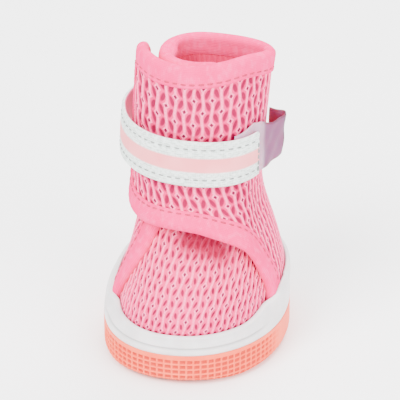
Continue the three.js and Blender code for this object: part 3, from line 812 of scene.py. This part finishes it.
def stitches(name, line, normal, pitch, length, thick, start=0.6):
    """Short round stitches along a line of points, each pulled in at its ends."""
    way = np.concatenate([[0], np.cumsum(np.linalg.norm(np.diff(line, axis=0), axis=1))])
    stations = np.array([-0.5, -0.36, 0.0, 0.36, 0.5])
    swell = np.array([0.35, 0.9, 1.0, 0.9, 0.35])
    sink = np.array([-0.9, -0.1, 0.15, -0.1, -0.9])
    turns = np.radians(np.arange(0, 360, 60))
    points, faces = [], []
    for middle in np.arange(start + pitch / 2, way[-1] - pitch / 2, pitch):
        at = middle + stations * length
        centre = np.stack([np.interp(at, way, line[:, k]) for k in range(3)], -1)
        up = np.stack([np.interp(at, way, normal[:, k]) for k in range(3)], -1)
        up /= np.linalg.norm(up, axis=-1, keepdims=True)
        along = np.gradient(centre, axis=0)
        side = np.cross(along, up)
        side /= np.linalg.norm(side, axis=-1, keepdims=True)
        centre = centre + up * (sink * thick)[:, None]
        for k in range(len(stations)):
            ring = np.cos(turns)[:, None] * side[k] + np.sin(turns)[:, None] * up[k]
            points.append(centre[k] + thick * swell[k] * ring)
        base = (len(points) - len(stations)) * len(turns)
        faces += [[int(i) + base for i in f] for f in capped_skin(len(stations), len(turns))]
    return make_piece(name, np.concatenate(points), faces)


tape_path = even_path(*band_outline(), 0.6, 3.0)
edge_binding = build_tape(tape_path)
seam = on_band(tape_path, TAPE_WIDTH - STITCH_INSET, TAPE_OUTSIDE - 0.10)[:, 0]
normal = on_band(tape_path, TAPE_WIDTH - STITCH_INSET, TAPE_OUTSIDE + 0.9)[:, 0] - seam
binding_stitches = stitches("binding_stitches", seam, normal, STITCH_PITCH, STITCH_LENGTH, STITCH_THICK)

tape = Finish("woven tape", "mesh_fabric", 0.85, Specular_IOR_Level=0.06)
u, v = tape.across()
ridge = abs(v / 0.42 - (v / 0.42 + 0.5).floor()) * 2
thread = abs(u / 0.34 - (u / 0.34 + 0.5).floor()) * 2
weave = ridge * 0.6 + thread * 0.4
cloud = tape.noise(160.0, 3.0)
pink = tape.mix(cloud.step(0.3, 0.7), (0.86, 0.008, 0.16), (0.95, 0.022, 0.205))
mottle = tape.noise(850.0, 2.0, stretch=(1, 1, 0.5)).step(0.45, 0.7)
pink = tape.mix(mottle * 0.5, pink, (0.98, 0.10, 0.30))
tape.set(Base_Color=tape.mix(weave * 0.5, pink, (0.62, 0.004, 0.11)))
tape.set(Roughness=0.78 + 0.15 * weave)
tape.bump(weave + tape.noise(700.0, 2.0) * 1.5, 0.07, 0.6)
tape.put_on(edge_binding)
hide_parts("upper")
rose_thread = Finish("rose thread", "mesh_fabric", 0.6, Specular_IOR_Level=0.3)
twist = rose_thread.noise(3800.0, 2.0, stretch=(1, 1, 0.4))
rose_thread.set(Base_Color=rose_thread.mix(twist.step(0.3, 0.7), (0.36, 0.004, 0.05), (0.52, 0.010, 0.08)))
rose_thread.bump(twist, 0.05, 0.5)
rose_thread.put_on(binding_stitches)


# ---------------------------------------------------------------- strap
# Flat soft webbing, 11 mm wide, white with a pale pink stripe along the middle and grey stitching near
# both edges. It is sewn at the back of the leg, stands off in a loop on the left and closes over the flap.

STRAP_MIDDLE, STRAP_HALF, STRAP_THICK = 48.4, 5.4, 1.2  # height of its middle, half its width
STRAP_LEAN = 0.5  # how much of the slope of the leg it takes
STRAP_SEWN, STRAP_END = -198.0, 63.0
STRAP_STITCH_INSET, STRAP_STITCH_PITCH, STRAP_STITCH_LENGTH, STRAP_STITCH_THICK = 1.75, 2.1, 1.25, 0.16
SEAM_INSET, SEAM_PITCH, SEAM_LENGTH, SEAM_THICK = 0.9, 1.5, 1.4, 0.24
STRAP_END_SEAMS = {"strap_end_stitches": 61.6, "strap_heel_stitches": -195.0, "strap_heel_seam": -187.5}
STRAP_PATH = np.array([
    # turn round the leg, how far its middle stands off the last
    (-198, 1.4), (-186, 1.5), (-173, 3.0), (-159, 6.6), (-142, 9.2), (-122, 9.4), (-103, 7.6), (-84, 6.0),
    (-64, 4.9), (-45, 4.4), (-20, 4.2), (20, 4.1), (40, 3.6), (64, 2.0),
])


def strap_point(turn, z, out):
    """A point on the strap, a way out from its middle. The strap leans with the leg under it."""
    axis = last_point(turn, STRAP_MIDDLE)
    away = off_last(turn, STRAP_MIDDLE, curve_through(STRAP_PATH, 1, turn) + out) - axis
    point = axis + (last_point(turn, z) - axis) * STRAP_LEAN + away
    point[..., 2] = z
    return point


def build_strap(turns):
    half, thick = STRAP_HALF, STRAP_THICK / 2
    across = np.linspace(-half + 0.25, half - 0.25, 33)
    side = np.abs(across) / half
    lip = np.exp(-(((half - np.abs(across) - 0.5) / 0.35) ** 2))
    dip = np.exp(-(((half - np.abs(across) - STRAP_STITCH_INSET) / 0.4) ** 2))
    face = thick * (0.80 + 0.2 * (1 - side**2)) + 0.07 * lip - 0.14 * dip
    outer = np.stack([across, face], -1)
    edge = [(half, 0.3), (half + 0.06, 0.0), (half, -0.3)]
    inner = [(a, -0.8 * thick) for a in across[::-4]]
    section = np.concatenate([outer, edge, inner, [(-a, o) for a, o in edge[::-1]]])
    points = strap_point(turns[:, None], STRAP_MIDDLE + section[None, :, 0], section[None, :, 1])
    middle = points[:, len(across) // 2]
    way = np.concatenate([[0], np.cumsum(np.linalg.norm(np.diff(middle, axis=0), axis=1))])
    u = np.broadcast_to(way[:, None], points.shape[:2])
    v = np.broadcast_to(section[None, :, 0], points.shape[:2])
    back = np.broadcast_to((section[None, :, 1] < -0.1).astype(float), points.shape[:2])
    return make_piece("strap_webbing", points.reshape(-1, 3), capped_skin(*points.shape[:2]),
                      np.stack([u, v], -1).reshape(-1, 2), {"inner_side": back})


strap_turns = np.linspace(STRAP_SEWN, STRAP_END, 300)
strap = build_strap(strap_turns)
webbing = Finish("striped webbing", "strap_webbing", 0.6, Specular_IOR_Level=0.25)
u, v = webbing.across()
cord = abs(v / 0.5 - (v / 0.5 + 0.5).floor()) * 2
pick = abs(u / 0.4 - (u / 0.4 + 0.5).floor()) * 2
weave = cord * 0.5 + pick * 0.5
cloud = webbing.noise(120.0, 2.0)
fuzz = webbing.noise(1100.0, 3.0, stretch=(1, 1, 2.2)).step(0.35, 0.65)
white = webbing.mix(cloud.step(0.3, 0.7), (0.66, 0.72, 0.695), (0.76, 0.82, 0.79))
white = webbing.mix(fuzz * weave * 1.2, white, (0.36, 0.41, 0.38))
stripe = webbing.mix(cloud.step(0.3, 0.7), (0.84, 0.20, 0.23), (0.90, 0.27, 0.29))
colour = webbing.mix(abs(v + 0.1).step(1.95, 1.5), white, stripe)
# The strap's back is a darker mauve-pink: a pink back with painted shade where it faces the leg.
webbing.set(Base_Color=webbing.mix(webbing.mark("inner_side").step(0.4, 0.6), colour, (0.66, 0.09, 0.23)))
webbing.set(Roughness=0.5 + 0.2 * weave)
webbing.bump(weave, 0.05, 0.5)
webbing.put_on(strap)
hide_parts("strap")

rows = []
stitched_turns = strap_turns[5:]
for name, side in (("strap_stitches_low", -1), ("strap_stitches_high", 1)):
    height = STRAP_MIDDLE + side * (STRAP_HALF - STRAP_STITCH_INSET)
    line = strap_point(stitched_turns, height, STRAP_THICK / 2 - 0.13)
    normal = strap_point(stitched_turns, height, STRAP_THICK / 2 + 1.0) - line
    rows.append(stitches(name, line, normal, STRAP_STITCH_PITCH, STRAP_STITCH_LENGTH, STRAP_STITCH_THICK))
heights = STRAP_MIDDLE + np.linspace(SEAM_INSET - STRAP_HALF, STRAP_HALF - SEAM_INSET, 30)
for name, seam_turn in STRAP_END_SEAMS.items():
    line = strap_point(seam_turn, heights, STRAP_THICK / 2 - 0.02)
    normal = strap_point(seam_turn, heights, STRAP_THICK / 2 + 1.0) - line
    rows.append(stitches(name, line, normal, SEAM_PITCH, SEAM_LENGTH, SEAM_THICK, start=0.1))
grey_thread = Finish("grey thread", "strap_webbing", 0.6, Specular_IOR_Level=0.3)
twist = grey_thread.noise(3800.0, 2.0)
grey_thread.set(Base_Color=grey_thread.mix(twist.step(0.3, 0.7), (0.13, 0.14, 0.135), (0.25, 0.26, 0.25)))
grey_thread.put_on(*rows)


# ---------------------------------------------------------------- pull tab
# A loop of soft lilac film is sewn under the strap's end. It shows above the strap's edge there, runs on
# past it, and folds back on itself at the tip.

TAB_FILM, TAB_LOW, TAB_HIGH = 0.42, 43.2, 53.9
TAB_PATH = ((10.4, -4.0, 18), (1.5, 96.0, 8), (3.2, 0.0, 6))  # length, bend in degrees, steps


def build_tab():
    under = [strap_point(t, STRAP_MIDDLE, -STRAP_THICK / 2 - 0.3)[:2] for t in np.linspace(40, 61, 9)]
    end, before = (strap_point(turn, STRAP_MIDDLE, 0.0)[:2] for turn in (64.0, 61.0))
    heading = np.arctan2(end[1] - before[1], end[0] - before[0])
    place, route = end, under + [end]
    for run, bend, steps in TAB_PATH:
        for _ in range(steps):
            heading += radians(bend) / steps
            place = place + run / steps * np.array([cos(heading), sin(heading)])
            route.append(place)
    route = np.array(route)
    way = np.concatenate([[0], np.cumsum(np.linalg.norm(np.diff(route, axis=0), axis=1))])
    free = (way - way[len(under)]) / TAB_PATH[0][0]
    normal = np.stack([np.gradient(route[:, 1]), -np.gradient(route[:, 0])], -1)
    normal /= np.linalg.norm(normal, axis=1, keepdims=True)
    high = TAB_HIGH + 0.6 + 1.5 * smooth((free + 0.7) / 0.7) * (1 - smooth(free / 0.6))
    high += 0.5 * smooth((free - 0.9) / 0.2) - 0.7 * smooth(free / 0.5)
    low = TAB_LOW + 0.8 * smooth(-free / 0.2) + 0.3 * smooth((free - 0.3) / 0.5)
    tip = np.abs(way - way[len(under) + TAB_PATH[0][2]])
    share = np.linspace(0, 1, 18)
    half_thick = np.where((share > 0) & (share < 1), 0.5, 0.2)
    section = [*zip(share, half_thick), *zip(share[::-1], -half_thick[::-1])]
    points, rims, sewn = [], [], []
    for i, xy in enumerate(route):
        for a, out in section:
            z = low[i] + (high[i] - low[i]) * a
            slant = (0.5 - a) * 1.5 * smooth(free[i]) * (1 - smooth((free[i] - 1) / 0.3))
            ripple = 0.14 * sin(way[i] * 1.3) * sin(z * 0.9) * smooth(free[i] / 0.2)
            side = xy + normal[i] * (out * TAB_FILM + ripple - 0.5 * slant)
            points.append((side[0], side[1], z))
            rims.append(min(z - low[i], high[i] - z, tip[i] + 0.2))
            sewn.append(1 - smooth((free[i] - 0.14) / 0.12))
    marks = {"from_rim": rims, "sewn": sewn}
    return make_piece("pull_tab", points, capped_skin(len(route), len(section)), marks=marks)


pull_tab = build_tab()
film = Finish("lilac film", "tab_plastic", 0.45, Specular_IOR_Level=0.25, Subsurface_Weight=0.3,
              Subsurface_Scale=0.003, IOR=1.4)
sewn = film.mark("sewn")
edge = film.mark("from_rim").step(0.7, 0.2)
cloud = film.noise(300.0, 2.0)
lilac = film.mix(cloud, (0.14, 0.036, 0.10), (0.20, 0.06, 0.145))
lilac = film.mix(edge * 0.8, lilac, (0.10, 0.034, 0.065))
film.set(Base_Color=film.mix(sewn, lilac, (0.55, 0.36, 0.47)), Alpha=0.95 - 0.4 * sewn)
film.set(Roughness=0.4 + 0.12 * cloud)
film.bump(film.noise(500.0, 2.0), 0.12, 0.5)
film.put_on(pull_tab)
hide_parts("strap_tab")


# ---------------------------------------------------------------- floor, light and camera
# A sheet of pale paper, curved up behind the boot, under four soft studio lamps. It is seen with a long
# lens from above the toe and a little to the right.

CAMERA_SIDE, CAMERA_UP, CAMERA_AWAY = radians(12), radians(28), 0.65
VIEW_HEIGHT = 0.093
LOOK_AT = np.array([0.0006, -0.001, 0.0345])


def build_stage():
    span, bend, back = 1.6, 0.35, 1.1
    curve = [(back + bend * sin(a), bend * (1 - cos(a))) for a in np.linspace(0, pi / 2, 16)]
    profile = [(-span, 0.0), *curve, (back + bend, 1.6)]
    points = [(x / MM, y / MM, z / MM) for x in (-span, span) for y, z in profile]
    floor = make_piece("floor", points, grid_faces(2, len(profile)))
    paper = Finish("pale paper", "floor", 0.9, Specular_IOR_Level=0.2)
    grain = paper.noise(40.0, 3.0)
    paper.set(Base_Color=paper.mix(grain, (0.93, 0.93, 0.93), (0.95, 0.95, 0.95)))
    floor.data.materials.append(paper.material)


def add_light(name, place, size, power):
    lamp = bpy.data.lights.new(name, "AREA")
    lamp.size, lamp.energy = size, power
    light = bpy.data.objects.new(name, lamp)
    bpy.context.collection.objects.link(light)
    light.location = place
    aim(light, (0, 0, 0.035))


def aim(thing, target):
    way = Vector(target) - thing.location
    thing.rotation_euler = way.to_track_quat("-Z", "Y").to_euler()


build_stage()
add_light("key", (-0.35, -0.55, 0.75), 0.5, 22.0)
add_light("fill", (0.6, -0.45, 0.4), 0.6, 12.0)
add_light("back", (0.1, 0.7, 0.7), 0.6, 12.0)
add_light("top", (0.0, 0.0, 0.95), 0.7, 12.0)
world = bpy.data.worlds.new("studio")
world.use_nodes = True
world.node_tree.nodes["Background"].inputs["Color"].default_value = (1.0, 1.0, 1.0, 1.0)
world.node_tree.nodes["Background"].inputs["Strength"].default_value = 1.3
bpy.context.scene.world = world

lens = bpy.data.cameras.new("camera")
camera = bpy.data.objects.new("camera", lens)
bpy.context.collection.objects.link(camera)
level = cos(CAMERA_UP)
direction = np.array([sin(CAMERA_SIDE) * level, -cos(CAMERA_SIDE) * level, sin(CAMERA_UP)])
camera.location = LOOK_AT + direction * CAMERA_AWAY
aim(camera, LOOK_AT)
lens.sensor_width = 36.0
lens.lens = 36.0 * CAMERA_AWAY / VIEW_HEIGHT
lens.clip_start, lens.clip_end = 0.05, 10.0
bpy.context.scene.camera = camera
